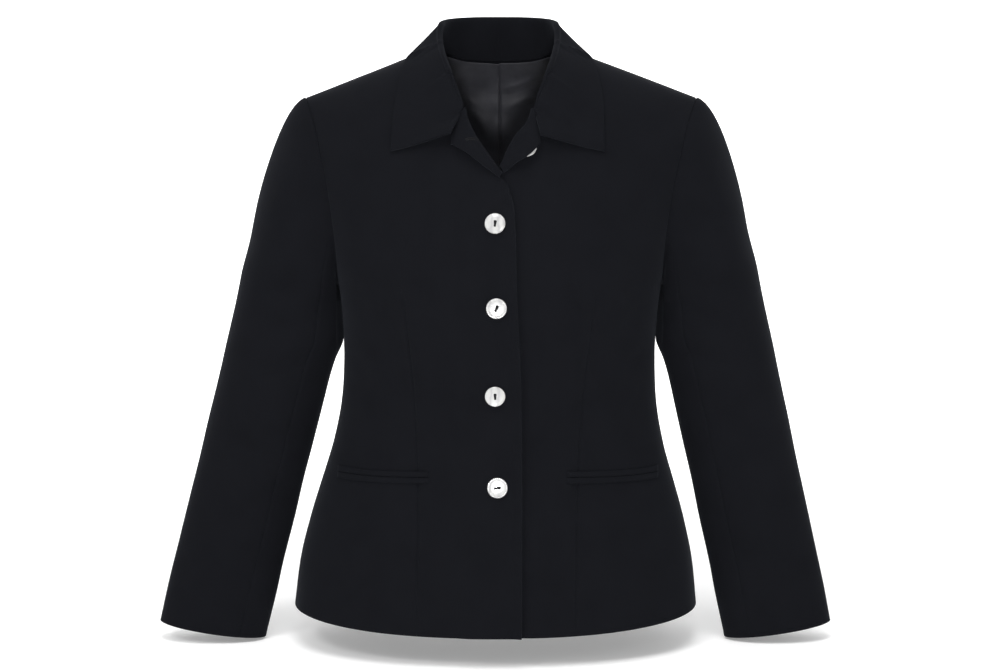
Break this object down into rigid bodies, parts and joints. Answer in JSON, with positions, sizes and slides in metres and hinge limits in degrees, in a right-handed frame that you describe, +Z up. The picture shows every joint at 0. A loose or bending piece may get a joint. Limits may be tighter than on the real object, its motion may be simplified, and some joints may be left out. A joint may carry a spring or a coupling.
{
  "type": "blazer",
  "caption": "Fitted women's blazer in black suiting cloth, filled out as if worn, with a small notched collar, pearl buttons, front darts and jetted pockets.",
  "frame": {"origin": "midway between the two side neck points, where the wearer's shoulders carry it", "axes": "+Z up along the wearer's spine, the front faces -Y, +X towards the wearer's left sleeve"},
  "size_m": [0.691, 0.2554, 0.6308],
  "materials": {
    "suiting_cloth": "matt black tropical-weight suiting",
    "lining_satin": "dark grey satin lining, soft sheen",
    "pearl_buttons": "polished white shell"
  },
  "bodies": {
    "root": {"front_right": "suiting_cloth", "front_left": "suiting_cloth", "back": "suiting_cloth", "sleeve_top_right": "suiting_cloth", "sleeve_top_left": "suiting_cloth", "sleeve_under_right": "suiting_cloth", "sleeve_under_left": "suiting_cloth", "collar": "suiting_cloth", "revers_right": "suiting_cloth", "revers_left": "suiting_cloth", "welt_upper_right": "suiting_cloth", "welt_lower_right": "suiting_cloth", "welt_upper_left": "suiting_cloth", "welt_lower_left": "suiting_cloth", "back_lining": "lining_satin", "button_1": "pearl_buttons", "button_2": "pearl_buttons", "button_3": "pearl_buttons", "button_4": "pearl_buttons", "button_neck": "pearl_buttons"}
  },
  "joints": []
}
